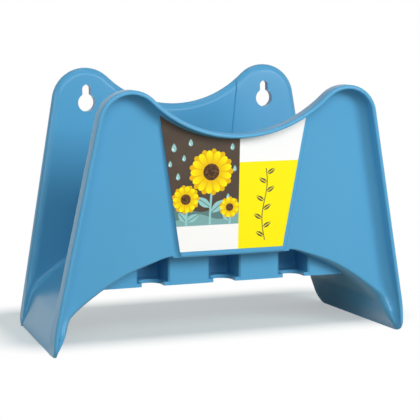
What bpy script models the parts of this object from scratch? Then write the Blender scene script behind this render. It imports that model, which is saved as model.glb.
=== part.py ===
"""Wall hose hanger: an arched channel between two plates, with keyholes, an accessory holder and a label.

It is one moulding, kept as its natural walls: one object each, with a hair's breadth between them.
X runs along the wall, +Y points into the wall, +Z is up, and the leg ends stand on Z = 0.
Lengths are metres.
"""

import math

import bmesh
import bpy
from mathutils import Matrix

MM = 0.001

# Whole moulding
depth = 137.0 * MM
wall = 2.5 * MM
gap = 0.3 * MM

# Shaping: the turn between two points of an arc, how far a cutter runs past what it cuts, and how near
# two points are one
arc_step = math.radians(7.5)
beyond = 20.0 * MM
same_place = 1e-6

# Wall plate: its face stands off the wall, a little further at the foot
back_foot_half = 118.7 * MM
back_side_angle = math.radians(9.6)
back_dip_height = 154.0 * MM
back_ear_height = 181.0 * MM
back_ear_radius = 24.0 * MM
back_standoff_foot = 8.5 * MM
back_lean = math.radians(0.95)
back_edge_round = 4.0 * MM
back_heel_round = 10.0 * MM

# Step in the wall plate's face between its middle and its ears
step_rise = 1.0 * MM
step_half = 27.0 * MM
step_angle = math.radians(6.5)
step_margin = 6.0 * MM

# Keyholes
keyhole_spacing = 135.2 * MM
keyhole_height = 156.5 * MM
keyhole_head_radius = 6.35 * MM
keyhole_slot_width = 6.3 * MM
keyhole_rise = 9.6 * MM
keyhole_pad = 4.5 * MM

# Front plate: a shallow tray that leans away from the wall
front_foot_half = 124.4 * MM
front_foot_tuck = 2.9 * MM
front_foot_round = 100.0 * MM
front_side_angle = math.radians(11.34)
front_dip_height = 142.2 * MM
front_ear_height = 172.4 * MM
front_ear_radius = 21.7 * MM
front_lean = math.radians(4.63)
front_edge_round = 3.0 * MM
front_toe_round = 7.5 * MM
rim_depth = 14.5 * MM
rim_wall = 2.6 * MM
lobe_fillet = 5.0 * MM

# Raised panel in the middle of the front plate
panel_rise = 3.0 * MM
panel_bottom_height = 60.4 * MM
panel_bottom_half = 38.2 * MM
panel_side_angle = math.radians(9.45)
panel_top_margin = 0.5 * MM
panel_edge_round = 1.8 * MM

# Label on the raised panel
label_thickness = 0.3 * MM
label_top_margin = 0.6 * MM
label_side_margin = 2.6 * MM
label_bottom_margin = 4.2 * MM

# Saddle under the hose: a level crown, a shoulder and a haunch that fall away, and a shin down to the floor
saddle_wall = 3.0 * MM
crown_height = 63.7 * MM
crown_half = 44.7 * MM
crown_blend = 30.0 * MM
shoulder_angle = math.radians(24.0)
haunch_angle = math.radians(44.6)
shin_angle = math.radians(70.0)
shin_height = 21.9 * MM
shin_blend = 14.0 * MM

# Accessory holder under the crown: lugs between three slots, and a notched pocket behind each slot
holder_setback = 7.0 * MM
holder_depth = 26.0 * MM
holder_bottom_height = 39.6 * MM
slot_width = 21.7 * MM
slot_pitch = 50.7 * MM
notch_width = 15.7 * MM
notch_reach = 14.5 * MM

# Worked out from the sizes above
wall_y = depth / 2
back_face_foot_y = wall_y - back_standoff_foot
front_rim_foot_y = -depth / 2 + math.tan(front_lean) * front_ear_height
front_inner_foot_y = front_rim_foot_y + rim_depth
lobe_face_foot_y = front_inner_foot_y - wall
panel_face_foot_y = lobe_face_foot_y - panel_rise
holder_front_y = front_inner_foot_y + holder_setback
front_side_start = front_foot_half + front_foot_tuck
shin_half = front_foot_half - saddle_wall / math.sin(shin_angle) - shin_height / math.tan(shin_angle)
slot_places = {"left": -slot_pitch, "centre": 0.0, "right": slot_pitch}


def back_face_y(z):
    """Y of the wall plate's face at height z."""
    return back_face_foot_y + math.tan(back_lean) * z


def front_inner_y(z):
    """Y of the front plate's face on the channel's side at height z."""
    return front_inner_foot_y - math.tan(front_lean) * z


def panel_half(z):
    """Half width of the raised panel at height z."""
    return panel_bottom_half + math.tan(panel_side_angle) * (z - panel_bottom_height)


def arc(centre, radius, start, end):
    """Points of an arc from the angle start to the angle end."""
    count = max(2, math.ceil(abs(end - start) / arc_step))
    turns = [start + (end - start) * i / count for i in range(count + 1)]
    return [(centre[0] + radius * math.cos(a), centre[1] + radius * math.sin(a)) for a in turns]


def blended(corners):
    """An open path through corners (a, b, radius), each inner corner rounded by an arc of its radius."""
    path = [corners[0][:2]]
    for before, corner, after in zip(corners, corners[1:], corners[2:]):
        a, b, radius = corner
        into = math.atan2(b - before[1], a - before[0])
        out = math.atan2(after[1] - b, after[0] - a)
        turn = math.remainder(out - into, math.tau)
        reach = radius * math.tan(abs(turn) / 2)
        side = math.copysign(math.pi / 2, turn)
        start = (a - reach * math.cos(into), b - reach * math.sin(into))
        centre = (start[0] + radius * math.cos(into + side), start[1] + radius * math.sin(into + side))
        rounding = arc(centre, radius, into - side, into - side + turn)
        path += rounding[1:] if math.dist(path[-1], rounding[0]) < same_place else rounding
    path.append(corners[-1][:2])
    return path


def mirrored(half):
    """A whole outline from its right half, which may start on the middle line."""
    left = [(-x, z) for x, z in reversed(half)]
    if abs(half[0][0]) < same_place:
        left = left[:-1]
    return half + left


def rectangle(left, right, low, high):
    return [(left, low), (right, low), (right, high), (left, high)]


def crest(dip_height, ear_height, ear_radius, side_start, side_angle, inset):
    """Right half of a plate's top: from the middle of its dip, over the ear, to the start of its side."""
    centre_z = ear_height - ear_radius
    centre_x = side_start - (ear_radius + centre_z * math.sin(side_angle)) / math.cos(side_angle)
    drop = dip_height - centre_z
    dip_radius = (centre_x**2 + drop**2 - ear_radius**2) / (2 * (ear_radius - drop))
    dip_centre = (0.0, dip_height + dip_radius)
    lean = math.atan2(centre_x, dip_centre[1] - centre_z)
    dip = arc(dip_centre, dip_radius + inset, -math.pi / 2, -math.pi / 2 + lean)
    ear = arc((centre_x, centre_z), ear_radius - inset, math.pi / 2 + lean, side_angle)
    return dip + ear[1:]


def back_outline(inset=0.0, low=-beyond):
    """Right half of the wall plate's outline, down to the height low, below the floor."""
    top = crest(back_dip_height, back_ear_height, back_ear_radius, back_foot_half, back_side_angle, inset)
    side = back_foot_half - inset / math.cos(back_side_angle) - math.tan(back_side_angle) * low
    return top + [(side, low)]


def front_crest(inset=0.0):
    return crest(
        front_dip_height, front_ear_height, front_ear_radius, front_side_start, front_side_angle, inset
    )


def front_outline(inset=0.0, low=-beyond):
    """Right half of the front plate's outline, down to the height low: its side ends upright."""
    top = front_crest(inset)
    foot = front_foot_half - inset
    start = front_side_start - inset / math.cos(front_side_angle)
    meet = (start - foot) / math.tan(front_side_angle)
    side = blended([(*top[-1], 0.0), (foot, meet, front_foot_round), (foot, low, 0.0)])
    return top + side[1:]


def panel_outline(top_inset, side_inset, bottom):
    """Outline parallel to the raised panel's: the rim's dip, slanted sides and a level bottom edge."""

    def inside(point):
        return panel_half(point[1]) - side_inset - point[0]

    crest_points = front_crest(rim_wall + panel_top_margin + top_inset)
    top = [p for p in crest_points if inside(p) > 0]
    last, after = top[-1], crest_points[len(top)]
    share = inside(last) / (inside(last) - inside(after))
    corner = tuple(a + (b - a) * share for a, b in zip(last, after))
    return mirrored(top + [corner, (panel_half(bottom) - side_inset, bottom)])


def haunch_blend():
    """Radius between shoulder and haunch along the underside: the largest that fits between the other blends."""
    fall = math.tan(haunch_angle) - math.tan(shoulder_angle)
    height = shin_height + math.tan(haunch_angle) * shin_half
    x = (height - crown_height - math.tan(shoulder_angle) * crown_half) / fall
    shoulder = (x - crown_half) / math.cos(shoulder_angle) - crown_blend * math.tan(shoulder_angle / 2)
    shin_turn = (shin_angle - haunch_angle) / 2
    haunch = (shin_half - x) / math.cos(haunch_angle) - shin_blend * math.tan(shin_turn)
    return min(shoulder, haunch) / math.tan((haunch_angle - shoulder_angle) / 2)


def arch_path(offset=0.0):
    """Right half of the arch from its crown to the floor, offset outwards from the underside."""
    slopes = (
        (crown_half, crown_height, shoulder_angle),
        (shin_half, shin_height, haunch_angle),
        (shin_half, shin_height, shin_angle),
    )
    height, fall = crown_height + offset, 0.0
    points = [(0.0, height)]
    for through_x, through_z, angle in slopes:
        start = through_z + math.tan(angle) * through_x + offset / math.cos(angle)
        x = (start - height) / (math.tan(angle) - fall)
        points.append((x, height - fall * x))
        height, fall = start, math.tan(angle)
    points.append((height / fall, 0.0))
    radii = (0.0, crown_blend + offset, haunch_blend() + offset, shin_blend + offset, 0.0)
    return blended([(*point, radius) for point, radius in zip(points, radii)])


def keyhole_outline(x):
    """Round hole for a screw's head with a narrower slot above it."""
    half = keyhole_slot_width / 2
    start = math.acos(half / keyhole_head_radius)
    head = arc((x, keyhole_height), keyhole_head_radius, math.pi - start, math.tau + start)
    top = arc((x, keyhole_height + keyhole_rise), half, 0.0, math.pi)
    return head + top


def keyhole_pad_outline(x):
    radius = keyhole_head_radius + keyhole_pad
    top_centre = keyhole_height + keyhole_rise + keyhole_slot_width / 2 - keyhole_head_radius
    return arc((x, top_centre), radius, 0.0, math.pi) + arc((x, keyhole_height), radius, math.pi, math.tau)


def named_collection(name):
    collection = bpy.data.collections.new(name)
    bpy.context.scene.collection.children.link(collection)
    return collection


def clear_scene():
    for obj in list(bpy.data.objects):
        bpy.data.objects.remove(obj, do_unlink=True)


def material(name, colour, roughness):
    made = bpy.data.materials.new(name)
    made.use_nodes = True
    shader = made.node_tree.nodes["Principled BSDF"]
    shader.inputs["Base Color"].default_value = (*colour, 1.0)
    shader.inputs["Roughness"].default_value = roughness
    shader.inputs["Metallic"].default_value = 0.0
    return made


def rounded_end(mesh, along, level, radius):
    """Rounds the outline's edge of a prism at one of its ends."""
    shape = bmesh.new()
    shape.from_mesh(mesh)
    edges = [e for e in shape.edges if all(abs(v.co[along] - level) < same_place for v in e.verts)]
    bmesh.ops.bevel(shape, geom=edges, offset=radius, segments=3, profile=0.5, affect="EDGES")
    shape.to_mesh(mesh)
    shape.free()


def prism(name, outline, low, high, axis="Y"):
    """A mesh from a closed outline drawn across the axis, and extruded along it from low to high.

    The outline's pairs are X-Z for axis Y, Y-Z for axis X and X-Y for axis Z.
    """
    curve = bpy.data.curves.new(name, "CURVE")
    curve.dimensions = "2D"
    curve.fill_mode = "BOTH"
    curve.extrude = (high - low) / 2
    spline = curve.splines.new("POLY")
    spline.points.add(len(outline) - 1)
    for point, (a, b) in zip(spline.points, outline):
        point.co = (a, b, 0.0, 1.0)
    spline.use_cyclic_u = True
    flat = bpy.data.objects.new(name, curve)
    bpy.context.scene.collection.objects.link(flat)
    bpy.context.view_layer.update()
    mesh = bpy.data.meshes.new_from_object(flat.evaluated_get(bpy.context.evaluated_depsgraph_get()))
    bpy.data.objects.remove(flat, do_unlink=True)
    bpy.data.curves.remove(curve)
    mesh.name = name
    turns = {
        "X": Matrix(((0, 0, 1, 0), (1, 0, 0, 0), (0, 1, 0, 0), (0, 0, 0, 1))),
        "Y": Matrix.Rotation(math.pi / 2, 4, "X"),
        "Z": Matrix.Identity(4),
    }
    middle = [0.0, 0.0, 0.0]
    middle["XYZ".index(axis)] = (low + high) / 2
    mesh.transform(Matrix.Translation(middle) @ turns[axis])
    shape = bmesh.new()
    shape.from_mesh(mesh)
    bmesh.ops.remove_doubles(shape, verts=shape.verts, dist=same_place)
    bmesh.ops.dissolve_limit(shape, angle_limit=1e-3, verts=shape.verts, edges=shape.edges)
    bmesh.ops.recalc_face_normals(shape, faces=shape.faces)
    shape.to_mesh(mesh)
    shape.free()
    return mesh


def leaned(mesh, angle):
    """Leans a mesh that was drawn upright, so that it goes towards -Y as it rises."""
    shear = Matrix.Identity(4)
    shear[1][2] = -math.tan(angle)
    mesh.transform(shear)
    return mesh


def tapered(mesh):
    """Brings the two halves of an arch nearer to each other towards the wall, as the plates' feet are."""
    slope = (front_foot_half - back_foot_half) / (back_face_foot_y - front_inner_foot_y)
    for vertex in mesh.vertices:
        x, y = vertex.co.x, vertex.co.y
        if abs(x) > same_place:
            vertex.co.x = x - math.copysign(slope * (y - front_inner_foot_y), x)
    return mesh


def add(mesh, collection):
    obj = bpy.data.objects.new(mesh.name, mesh)
    collection.objects.link(obj)
    return obj


def add_helper(mesh, helpers):
    helper = add(mesh, helpers)
    helper.display_type = "WIRE"
    helper.hide_render = True
    return helper


def combine(target, helper, operation):
    """Adds an exact Boolean of a helper solid to an object."""
    modifier = target.modifiers.new(helper.name, "BOOLEAN")
    modifier.operation = operation
    modifier.solver = "EXACT"
    modifier.object = helper


def under_arch(name, offset=0.0):
    """The space below the arch and below the floor."""
    aside = front_foot_half + beyond
    half = arch_path(offset) + [(aside, 0.0), (aside, -3 * beyond)]
    return tapered(prism(name, mirrored(half), -depth, depth))


def corner_cutter(name, corner_y, radius, towards):
    """What a rounded lower corner of the side view leaves out: towards is 1 at the wall, -1 at the front."""
    centre = (corner_y - towards * radius, radius)
    rounding = arc(centre, radius, -math.pi / 2, -math.pi / 2 + towards * math.pi / 2)
    outside = corner_y + towards * beyond
    square = [(outside, radius), (outside, -beyond), (centre[0], -beyond)]
    return prism(name, rounding + square, -depth, depth, axis="X")


def make_wall_plate(parts, helpers):
    """Plate with two ears and two keyholes, whose edge turns back to the wall."""
    body = prism("wall_plate", mirrored(back_outline()), back_face_foot_y, wall_y)
    rounded_end(body, 1, back_face_foot_y, back_edge_round)
    for vertex in body.vertices:
        if vertex.co.y < wall_y - same_place:
            vertex.co.y += math.tan(back_lean) * vertex.co.z
    plate = add(body, parts)

    heights = (crown_height / 2, back_dip_height - step_margin)
    step = mirrored([(step_half + math.tan(step_angle) * z, z) for z in heights])
    raised = prism("wall_plate_step", step, back_face_foot_y - step_rise, back_face_foot_y + wall / 2)
    combine(plate, add_helper(leaned(raised, -back_lean), helpers), "UNION")

    outline = mirrored(back_outline(wall, -2 * beyond))
    inside = prism("wall_plate_inside", outline, back_face_foot_y + wall, depth)
    hollow = add_helper(leaned(inside, -back_lean), helpers)
    combine(hollow, add_helper(under_arch("wall_plate_rib", wall), helpers), "DIFFERENCE")
    combine(plate, hollow, "DIFFERENCE")

    for side, place in (("left", -keyhole_spacing / 2), ("right", keyhole_spacing / 2)):
        inner = back_face_y(keyhole_height) + wall / 2
        pad = prism("keyhole_pad_" + side, keyhole_pad_outline(place), inner, wall_y)
        combine(plate, add_helper(pad, helpers), "UNION")
        hole = prism("keyhole_" + side, keyhole_outline(place), 0.0, depth)
        combine(plate, add_helper(hole, helpers), "DIFFERENCE")

    combine(plate, add_helper(under_arch("wall_plate_arch"), helpers), "DIFFERENCE")
    heel = corner_cutter("wall_plate_heel", wall_y, back_heel_round, 1)
    combine(plate, add_helper(heel, helpers), "DIFFERENCE")
    return plate


def make_front_plate(parts, helpers):
    """Tray with two recessed lobes inside a rim, and a window for the raised panel."""
    body = prism("front_plate", mirrored(front_outline()), front_rim_foot_y, front_inner_foot_y)
    rounded_end(body, 1, front_inner_foot_y, front_edge_round)
    plate = add(leaned(body, front_lean), parts)

    ahead = front_rim_foot_y - rim_depth
    outline = mirrored(front_outline(rim_wall, -2 * beyond))
    pocket = prism("front_plate_tray", outline, ahead, lobe_face_foot_y)
    rounded_end(pocket, 1, lobe_face_foot_y, lobe_fillet)
    combine(plate, add_helper(leaned(pocket, front_lean), helpers), "DIFFERENCE")
    window = prism("panel_window", panel_outline(0.0, -gap, -beyond), ahead, 0.0)
    combine(plate, add_helper(leaned(window, front_lean), helpers), "DIFFERENCE")

    combine(plate, add_helper(under_arch("front_plate_arch"), helpers), "DIFFERENCE")
    toe = corner_cutter("front_plate_toe", front_rim_foot_y, front_toe_round, -1)
    combine(plate, add_helper(toe, helpers), "DIFFERENCE")
    return plate


def make_label_panel(parts, helpers):
    """Raised middle of the front plate: a tray, open towards the channel."""
    outline = panel_outline(gap, 0.0, panel_bottom_height)
    body = prism("label_panel", outline, panel_face_foot_y, front_inner_foot_y)
    rounded_end(body, 1, panel_face_foot_y, panel_edge_round)
    panel = add(leaned(body, front_lean), parts)
    smaller = panel_outline(gap + wall, wall, panel_bottom_height + wall)
    inside = prism("label_panel_inside", smaller, panel_face_foot_y + wall, 0.0)
    combine(panel, add_helper(leaned(inside, front_lean), helpers), "DIFFERENCE")
    return panel


def make_label(parts):
    """Printed label, cut to the raised panel."""
    back = panel_face_foot_y - gap
    bottom = panel_bottom_height + label_bottom_margin
    outline = panel_outline(gap + label_top_margin, label_side_margin, bottom)
    body = prism("product_label", outline, back - label_thickness, back)
    return add(leaned(body, front_lean), parts)


def make_saddle(parts):
    """Arched floor of the channel, which carries the coiled hose and stands on its two ends."""
    outer, inner = arch_path(saddle_wall), arch_path()
    outline = [(-x, z) for x, z in reversed(outer[1:])] + outer
    outline += list(reversed(inner)) + [(-x, z) for x, z in inner[1:]]
    body = prism("hose_saddle", outline, -depth, depth)
    for vertex in body.vertices:
        z = vertex.co.z
        vertex.co.y = front_inner_y(z) + gap if vertex.co.y < 0 else back_face_y(z) - step_rise - gap
    return add(tapered(body), parts)


def make_holder_lug(name, left, right, parts, helpers):
    """One stretch of the accessory holder's front wall, between two slots or outside them."""
    outline = rectangle(left, right, holder_bottom_height, crown_height)
    lug = add(prism(name, outline, holder_front_y, holder_front_y + wall), parts)
    combine(lug, add_helper(under_arch(name + "_arch", -gap), helpers), "INTERSECT")
    return lug


def make_holder_lugs(parts, helpers):
    inner, outer = slot_width / 2, slot_pitch - slot_width / 2
    end = slot_pitch + slot_width / 2
    return [
        make_holder_lug("holder_lug_outer_left", -shin_half, -end, parts, helpers),
        make_holder_lug("holder_lug_inner_left", -outer, -inner, parts, helpers),
        make_holder_lug("holder_lug_inner_right", inner, outer, parts, helpers),
        make_holder_lug("holder_lug_outer_right", end, shin_half, parts, helpers),
    ]


def make_holder_pocket(side, place, parts, helpers):
    """Pocket behind a slot: two side walls, a back wall and a notched shelf for a hose fitting."""
    name = "holder_pocket_" + side
    front, back = holder_front_y + wall + gap, holder_front_y + holder_depth
    left, right = place - slot_width / 2, place + slot_width / 2
    plan = rectangle(left - wall, right + wall, front, back)
    pocket = add(prism(name, plan, holder_bottom_height, crown_height, axis="Z"), parts)
    combine(pocket, add_helper(under_arch(name + "_arch", -gap), helpers), "INTERSECT")
    room = rectangle(left, right, -depth, back - wall)
    inside = prism(name + "_inside", room, holder_bottom_height + wall, crown_height + beyond, axis="Z")
    combine(pocket, add_helper(inside, helpers), "DIFFERENCE")

    radius = notch_width / 2
    round_end = arc((place, holder_front_y + notch_reach - radius), radius, 0.0, math.pi)
    notch = round_end + [(place - radius, -depth), (place + radius, -depth)]
    cutter = prism(name + "_notch", notch, 0.0, holder_bottom_height + 2 * wall, axis="Z")
    combine(pocket, add_helper(cutter, helpers), "DIFFERENCE")
    return pocket


def main():
    clear_scene()
    parts = named_collection("wall_hose_hanger")
    helpers = named_collection("cutters")
    moulding = [
        make_wall_plate(parts, helpers),
        make_front_plate(parts, helpers),
        make_label_panel(parts, helpers),
        make_saddle(parts),
    ]
    moulding += make_holder_lugs(parts, helpers)
    moulding += [make_holder_pocket(side, place, parts, helpers) for side, place in slot_places.items()]
    blue = material("blue_plastic", (0.10, 0.37, 0.62), 0.35)
    for piece in moulding:
        piece.data.materials.append(blue)
    make_label(parts).data.materials.append(material("printed_film", (0.85, 0.72, 0.10), 0.4))


main()
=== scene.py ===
"""Looks of a wall hose hanger: a blue moulding with a printed label, on a pale studio floor.

The moulding is one skin. Its section is a closed loop through the front plate, the saddle and the wall
plate, and it is swept over the arch from the foot to the middle and mirrored. X runs along the wall,
+Y points into the wall, +Z is up, and lengths are metres.
"""

import bisect
import math
from math import acos, atan2, copysign, cos, dist, pi, radians, sin, sqrt, tan, tau

import bmesh
import bpy
from bpy.props import FloatProperty, FloatVectorProperty, IntProperty, PointerProperty
from mathutils import Matrix, Vector


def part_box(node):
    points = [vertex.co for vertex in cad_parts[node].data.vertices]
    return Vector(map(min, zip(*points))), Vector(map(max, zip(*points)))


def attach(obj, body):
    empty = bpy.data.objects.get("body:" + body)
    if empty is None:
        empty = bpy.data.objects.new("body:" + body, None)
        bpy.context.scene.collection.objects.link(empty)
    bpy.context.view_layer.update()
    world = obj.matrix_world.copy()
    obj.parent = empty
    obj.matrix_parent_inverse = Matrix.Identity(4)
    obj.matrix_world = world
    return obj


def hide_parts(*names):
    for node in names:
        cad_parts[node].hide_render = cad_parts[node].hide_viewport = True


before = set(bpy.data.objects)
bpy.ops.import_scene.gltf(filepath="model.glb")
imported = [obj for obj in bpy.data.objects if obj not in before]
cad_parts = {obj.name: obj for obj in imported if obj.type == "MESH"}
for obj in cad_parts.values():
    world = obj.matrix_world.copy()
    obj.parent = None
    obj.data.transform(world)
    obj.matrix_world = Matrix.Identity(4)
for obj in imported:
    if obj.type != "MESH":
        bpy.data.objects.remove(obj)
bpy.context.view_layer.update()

bl_info = {
    "name": "Wall Hose Hanger",
    "version": (1, 0, 0),
    "blender": (4, 5, 0),
    "location": "3D View > Sidebar > Hanger",
    "description": "Adds a moulded wall hanger for a garden hose, with its label and a studio stage",
    "category": "Add Mesh",
}

MM = 0.001
SAME_PLACE = 1e-6
PLATE_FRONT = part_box("front_plate")
PLATE_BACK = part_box("wall_plate")
WALL_Y = PLATE_BACK[1].y


def length(name, description, millimetres):
    settings = {"default": millimetres * MM, "unit": "LENGTH", "precision": 5}
    return FloatProperty(name=name, description=description, **settings)


def angle(name, description, degrees):
    return FloatProperty(name=name, description=description, default=radians(degrees), unit="ROTATION")


def plain(name, description, value):
    return FloatProperty(name=name, description=description, default=value)


def shade(name, description, colour):
    return FloatVectorProperty(name=name, description=description, default=colour, subtype="COLOR")


class HangerSizes(bpy.types.PropertyGroup):
    """Sizes of the moulding and its label."""

    wall: length("Wall", "Thickness of the plates", 2.5)
    saddle_wall: length("Saddle wall", "Thickness of the channel's arched floor", 3.0)

    front_foot: length("Front foot", "Half width of the front plate's feet", PLATE_FRONT[1].x / MM)
    front_tuck: length("Front tuck", "How far the feet turn in from the side", 2.9)
    front_turn: length("Foot turn", "Radius where the side turns upright", 100.0)
    front_side: angle("Front side", "Slant of the front plate's sides", 11.34)
    front_dip: length("Front dip", "Height of the front plate's middle", 142.2)
    front_ear: length("Front ear", "Height of the front plate's ears", PLATE_FRONT[1].z / MM)
    front_ear_radius: length("Front ear radius", "Radius of the front plate's ears", 21.7)
    front_lean: angle("Front lean", "Lean of the front plate away from the wall", 4.63)
    rim_depth: length("Rim depth", "Depth of the front plate's edge", 14.5)
    rim_wall: length("Rim wall", "Thickness of the front plate's edge", 2.9)
    toe_round: length("Toe round", "Radius of the feet at the front", 7.5)

    back_foot: length("Back foot", "Half width of the wall plate's feet", 118.7)
    back_side: angle("Back side", "Slant of the wall plate's sides", 9.6)
    back_dip: length("Back dip", "Height of the wall plate's middle", 154.0)
    back_ear: length("Back ear", "Height of the wall plate's ears", PLATE_BACK[1].z / MM)
    back_ear_radius: length("Back ear radius", "Radius of the wall plate's ears", 24.0)
    standoff: length("Standoff", "From the wall to the wall plate's face at the foot", 8.5)
    back_lean: angle("Back lean", "Lean of the wall plate's face towards the wall", 0.95)
    heel_round: length("Heel round", "Radius of the feet at the wall", 10.0)
    step_rise: length("Step rise", "How far the wall plate's middle lies behind its ears", 1.3)
    step_half: length("Step", "Half width of the wall plate's middle at the floor", 27.0)
    step_side: angle("Step side", "Slant of the wall plate's middle", 6.5)

    keyhole_spacing: length("Keyhole spacing", "Distance between the keyholes", 135.2)
    keyhole_height: length("Keyhole height", "Height of the keyholes' round ends", 156.5)
    keyhole_radius: length("Keyhole radius", "Radius of a keyhole's round end", 6.35)
    keyhole_slot: length("Keyhole slot", "Width of a keyhole's narrow end", 6.3)
    keyhole_rise: length("Keyhole rise", "From the round end's centre to the slot's end", 9.6)
    keyhole_pad: length("Keyhole pad", "Width of the pad round a keyhole", 4.5)

    crown_height: length("Crown height", "Height of the arch's underside", 63.7)
    crown_half: length("Crown", "Half width of the level crown", 44.7)
    crown_blend: length("Crown blend", "Radius between crown and shoulder", 30.0)
    shoulder: angle("Shoulder", "Slope of the arch beside the crown", 24.0)
    haunch: angle("Haunch", "Slope of the arch above the shin", 44.6)
    shin: angle("Shin", "Slope of the arch at the floor", 70.0)
    shin_height: length("Shin height", "Height where the shin starts", 21.9)
    shin_blend: length("Shin blend", "Radius between haunch and shin", 9.0)

    rim_edge: length("Rim edge", "Rounding of the rim's inner edge", 1.1)
    rim_round: length("Rim round", "Rounding of the rim's outer edge", 1.8)
    lobe_depth: length("Lobe depth", "How far back the rounding under the lobes reaches", 14.0)
    front_lip: length("Front lip", "How far the front plate hangs below the saddle", 2.2)
    tray_fillet: length("Tray fillet", "Rounding between rim and lobes", 5.0)
    lobe_round: length("Lobe round", "Rounding where the lobes turn under the saddle", 3.4)
    foot_ramp: length("Foot ramp", "How far forward the lobes come at the feet", 9.5)
    channel_round: length("Channel round", "Rounding between saddle and front plate", 9.0)
    plate_round: length("Plate round", "Rounding of the front plate's edge at the channel", 5.0)
    back_fillet: length("Back fillet", "Rounding between saddle and wall plate", 4.0)
    back_edge: length("Back edge", "Rounding of the wall plate's edge", 5.2)
    foot_edge: length("Foot edge", "Rounding of the feet's outer edge", 1.6)

    panel_rise: length("Panel rise", "How far the panel stands out at its bottom", 3.3)
    panel_tilt: angle("Panel tilt", "How much steeper the panel stands than the front plate", 1.1)
    panel_bottom: length("Panel bottom", "Height of the panel's bottom edge", 60.4)
    panel_half: length("Panel half", "Half width of the panel at its bottom", 36.6)
    panel_side: angle("Panel side", "Slant of the panel's sides", 9.45)
    panel_top: length("Panel top", "Distance from the rim to the panel", 0.5)
    panel_edge: length("Panel edge", "Rounding of the panel's bottom edge", 2.2)
    panel_corner: length("Panel corner", "Rounding of the panel's side edges", 0.5)
    panel_cove: plain("Panel cove", "Width of the hollow beside the panel, as a share of its rise", 1.35)
    label_side: length("Label side", "Blue margin beside the label", 0.95)
    label_shift: length("Label shift", "How far left of the middle the label is", 1.5)
    label_top: length("Label top", "Blue margin above the label", 0.6)
    label_bottom: length("Label bottom", "Blue margin below the label", 4.2)
    label_film: length("Label film", "Thickness of the label", 0.3)

    holder_setback: length("Holder setback", "From the front plate to the holder's wall", 7.0)
    holder_depth: length("Holder depth", "Depth of the holder", 26.0)
    holder_bottom: length("Holder bottom", "Height of the holder's bottom", 39.6)
    slot_width: length("Slot width", "Width of the holder's slots", 21.7)
    slot_pitch: length("Slot pitch", "Distance between the slots", 50.7)
    notch_width: length("Notch width", "Width of the notch in a pocket's shelf", 15.7)
    notch_reach: length("Notch reach", "Depth of the notch from the holder's wall", 14.5)

    stations: IntProperty(name="Stations", description="Sections from the foot to the middle", default=104)


class StageLook(bpy.types.PropertyGroup):
    """Camera, floor and light."""

    camera_place: FloatVectorProperty(
        name="Camera",
        description="Where the camera stands",
        default=(-0.37591, -1.03174, 0.23151),
        unit="LENGTH",
    )
    camera_yaw: angle("Yaw", "Turn of the camera to the right", 20.112)
    camera_pitch: angle("Pitch", "Tilt of the camera below level", 7.636)
    camera_roll: angle("Roll", "Turn of the camera about its own axis", -0.252)
    camera_lens: plain("Lens", "Focal length on a 36 mm sensor", 137.35)
    floor_colour: shade("Floor", "Colour of the floor", (0.72, 0.9, 0.91))
    floor_bounce: shade("Floor bounce", "Colour that the floor bounces back", (0.33, 0.32, 0.25))
    floor_glow: plain("Floor glow", "Share of plain white that the camera sees in the floor", 0.39)
    sky: plain("Sky", "Strength of the white sky", 0.17)
    key_power: plain("Key light", "Watts of the softbox in front", 4.9)
    left_power: plain("Left light", "Watts of the softbox at the left", 3.4)
    side_power: plain("Side light", "Watts of the softbox at the right", 8.2)
    far_power: plain("Far light", "Watts of the softbox beyond the left leg", 3.8)
    top_power: plain("Top light", "Watts of the softbox above", 1.3)


class MouldingColours(bpy.types.PropertyGroup):
    """Colours of the moulding and of the print."""

    blue: shade("Blue", "Colour of the plastic", (0.096, 0.38, 0.65))
    ground: shade("Ground", "Dark ground of the print", (0.05, 0.035, 0.025))
    yellow: shade("Yellow", "Yellow of the print", (1.0, 0.87, 0.0))
    teal: shade("Teal", "Pale teal of the print", (0.30, 0.60, 0.60))
    paper: shade("Paper", "White of the print", (0.96, 0.96, 0.96))


def sizes():
    return bpy.context.scene.hanger_sizes


def colours():
    return bpy.context.scene.hanger_colours


# Tracks: paths of straight runs and bends in the X-Z plane, measured along their length


def straight(start, end):
    heading = atan2(end[1] - start[1], end[0] - start[0])
    step = Vector((cos(heading), sin(heading)))
    return dist(start, end), lambda along: (Vector(start) + step * along, heading)


def left_of(heading):
    """The direction to the left of a heading."""
    return Vector((-sin(heading), cos(heading)))


def bend(centre, radius, start, end):
    side = copysign(1.0, end - start)

    def place(along):
        turned = start + side * along / radius
        point = Vector((centre[0] + radius * cos(turned), centre[1] + radius * sin(turned)))
        return point, turned + side * pi / 2

    return radius * abs(end - start), place


def through(corners):
    """Runs and bends through corners (x, z, radius)."""
    runs, last = [], corners[0][:2]
    for before, (x, z, radius), after in zip(corners, corners[1:], corners[2:]):
        into = atan2(z - before[1], x - before[0])
        out = atan2(after[1] - z, after[0] - x)
        turn = math.remainder(out - into, tau)
        reach = radius * tan(abs(turn) / 2)
        side = copysign(pi / 2, turn)
        start = (x - reach * cos(into), z - reach * sin(into))
        centre = (start[0] + radius * cos(into + side), start[1] + radius * sin(into + side))
        runs += [straight(last, start), bend(centre, radius, into - side, into - side + turn)]
        last = (x + reach * cos(out), z + reach * sin(out))
    return runs + [straight(last, corners[-1][:2])]


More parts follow.
